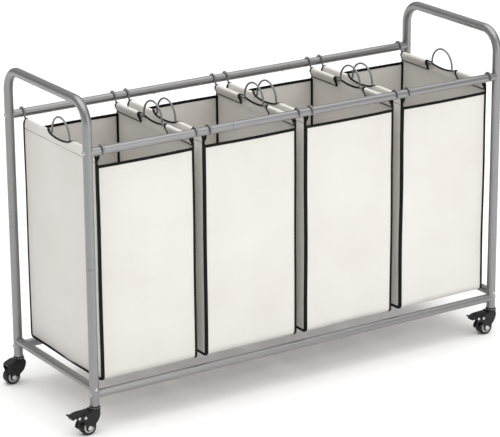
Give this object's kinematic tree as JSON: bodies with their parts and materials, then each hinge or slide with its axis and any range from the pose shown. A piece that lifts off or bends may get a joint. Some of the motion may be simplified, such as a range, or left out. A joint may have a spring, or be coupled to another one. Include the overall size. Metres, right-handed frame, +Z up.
{
  "type": "laundry sorter",
  "caption": "Wheeled laundry sorter: lift-out canvas bags hang side by side on wire hangers from a round-tube steel frame with arched end handles, on swivel casters.",
  "frame": {"origin": "middle of the whole object, on the floor under the casters", "axes": "+X along the rails to the right seen from the front, +Y from the front (braked casters) to the rear, +Z up"},
  "size_m": [1.236, 0.403, 0.7934],
  "materials": {
    "frame_tube": "silver-grey powder coat, satin",
    "canvas": "off-white canvas",
    "binding": "black woven tape",
    "hanger_wire": "dark grey coated wire",
    "plated_steel": "bright zinc plate",
    "caster_plastic": "black, satin",
    "tread": "black, matt",
    "hub_plastic": "light grey, satin"
  },
  "bodies": {
    "frame": {"end_frame_left": "frame_tube", "end_frame_right": "frame_tube", "leg_fl": "frame_tube", "post_sleeve_fl": "frame_tube", "leg_fr": "frame_tube", "post_sleeve_fr": "frame_tube", "leg_rl": "frame_tube", "post_sleeve_rl": "frame_tube", "leg_rr": "frame_tube", "post_sleeve_rr": "frame_tube", "side_rail_left": "frame_tube", "side_rail_right": "frame_tube", "top_front_rail_left": "frame_tube", "top_front_rail_middle": "frame_tube", "top_front_rail_right": "frame_tube", "top_rear_rail_left": "frame_tube", "top_rear_rail_middle": "frame_tube", "top_rear_rail_right": "frame_tube", "bottom_front_rail_left": "frame_tube", "bottom_front_rail_middle": "frame_tube", "bottom_front_rail_right": "frame_tube", "bottom_rear_rail_left": "frame_tube", "bottom_rear_rail_middle": "frame_tube", "bottom_rear_rail_right": "frame_tube", "caster_stem_fl": "plated_steel", "caster_stem_fr": "plated_steel", "caster_stem_rl": "plated_steel", "caster_stem_rr": "plated_steel"},
    "bag_1_hung": {"bag_1": "canvas", "bag_1_hanger_left": "hanger_wire", "bag_1_hanger_right": "hanger_wire"},
    "bag_2_hung": {"bag_2": "canvas", "bag_2_hanger_left": "hanger_wire", "bag_2_hanger_right": "hanger_wire"},
    "bag_3_hung": {"bag_3": "canvas", "bag_3_hanger_left": "hanger_wire", "bag_3_hanger_right": "hanger_wire"},
    "bag_4_hung": {"bag_4": "canvas", "bag_4_hanger_left": "hanger_wire", "bag_4_hanger_right": "hanger_wire"},
    "fork_fl": {"caster_fork_fl": "caster_plastic", "caster_axle_fl": "plated_steel", "brake_pin_fl": "plated_steel"},
    "wheel_fl": {"caster_tyre_fl": "tread", "caster_hub_fl": "hub_plastic"},
    "pedal_fl": {"brake_pedal_fl": "caster_plastic"},
    "fork_fr": {"caster_fork_fr": "caster_plastic", "caster_axle_fr": "plated_steel", "brake_pin_fr": "plated_steel"},
    "wheel_fr": {"caster_tyre_fr": "tread", "caster_hub_fr": "hub_plastic"},
    "pedal_fr": {"brake_pedal_fr": "caster_plastic"},
    "fork_rl": {"caster_fork_rl": "caster_plastic", "caster_axle_rl": "plated_steel"},
    "wheel_rl": {"caster_tyre_rl": "tread", "caster_hub_rl": "hub_plastic"},
    "fork_rr": {"caster_fork_rr": "caster_plastic", "caster_axle_rr": "plated_steel"},
    "wheel_rr": {"caster_tyre_rr": "tread", "caster_hub_rr": "hub_plastic"}
  },
  "joints": [
    {"name": "bag_1_lift", "type": "slide", "parent": "frame", "child": "bag_1_hung", "axis": [0, 0, 1], "range_m": [0, 0.6]},
    {"name": "bag_2_lift", "type": "slide", "parent": "frame", "child": "bag_2_hung", "axis": [0, 0, 1], "range_m": [0, 0.6]},
    {"name": "bag_3_lift", "type": "slide", "parent": "frame", "child": "bag_3_hung", "axis": [0, 0, 1], "range_m": [0, 0.6]},
    {"name": "bag_4_lift", "type": "slide", "parent": "frame", "child": "bag_4_hung", "axis": [0, 0, 1], "range_m": [0, 0.6]},
    {"name": "caster_swivel_fl", "type": "hinge", "parent": "frame", "child": "fork_fl", "pos_m": [-0.545, -0.1855, 0.061], "axis": [0, 0, 1], "continuous": true},
    {"name": "wheel_spin_fl", "type": "hinge", "parent": "fork_fl", "child": "wheel_fl", "pos_m": [-0.566, -0.1855, 0.019], "axis": [0, 1, 0], "continuous": true},
    {"name": "brake_fl", "type": "hinge", "parent": "fork_fl", "child": "pedal_fl", "pos_m": [-0.576, -0.1855, 0.0455], "axis": [0, -1, 0], "range_deg": [0, 14]},
    {"name": "caster_swivel_fr", "type": "hinge", "parent": "frame", "child": "fork_fr", "pos_m": [0.605, -0.1855, 0.061], "axis": [0, 0, 1], "continuous": true},
    {"name": "wheel_spin_fr", "type": "hinge", "parent": "fork_fr", "child": "wheel_fr", "pos_m": [0.584, -0.1855, 0.019], "axis": [0, 1, 0], "continuous": true},
    {"name": "brake_fr", "type": "hinge", "parent": "fork_fr", "child": "pedal_fr", "pos_m": [0.574, -0.1855, 0.0455], "axis": [0, -1, 0], "range_deg": [0, 14]},
    {"name": "caster_swivel_rl", "type": "hinge", "parent": "frame", "child": "fork_rl", "pos_m": [-0.545, 0.1855, 0.061], "axis": [0, 0, 1], "continuous": true},
    {"name": "wheel_spin_rl", "type": "hinge", "parent": "fork_rl", "child": "wheel_rl", "pos_m": [-0.566, 0.1855, 0.019], "axis": [0, 1, 0], "continuous": true},
    {"name": "caster_swivel_rr", "type": "hinge", "parent": "frame", "child": "fork_rr", "pos_m": [0.605, 0.1855, 0.061], "axis": [0, 0, 1], "continuous": true},
    {"name": "wheel_spin_rr", "type": "hinge", "parent": "fork_rr", "child": "wheel_rr", "pos_m": [0.584, 0.1855, 0.019], "axis": [0, 1, 0], "continuous": true}
  ]
}
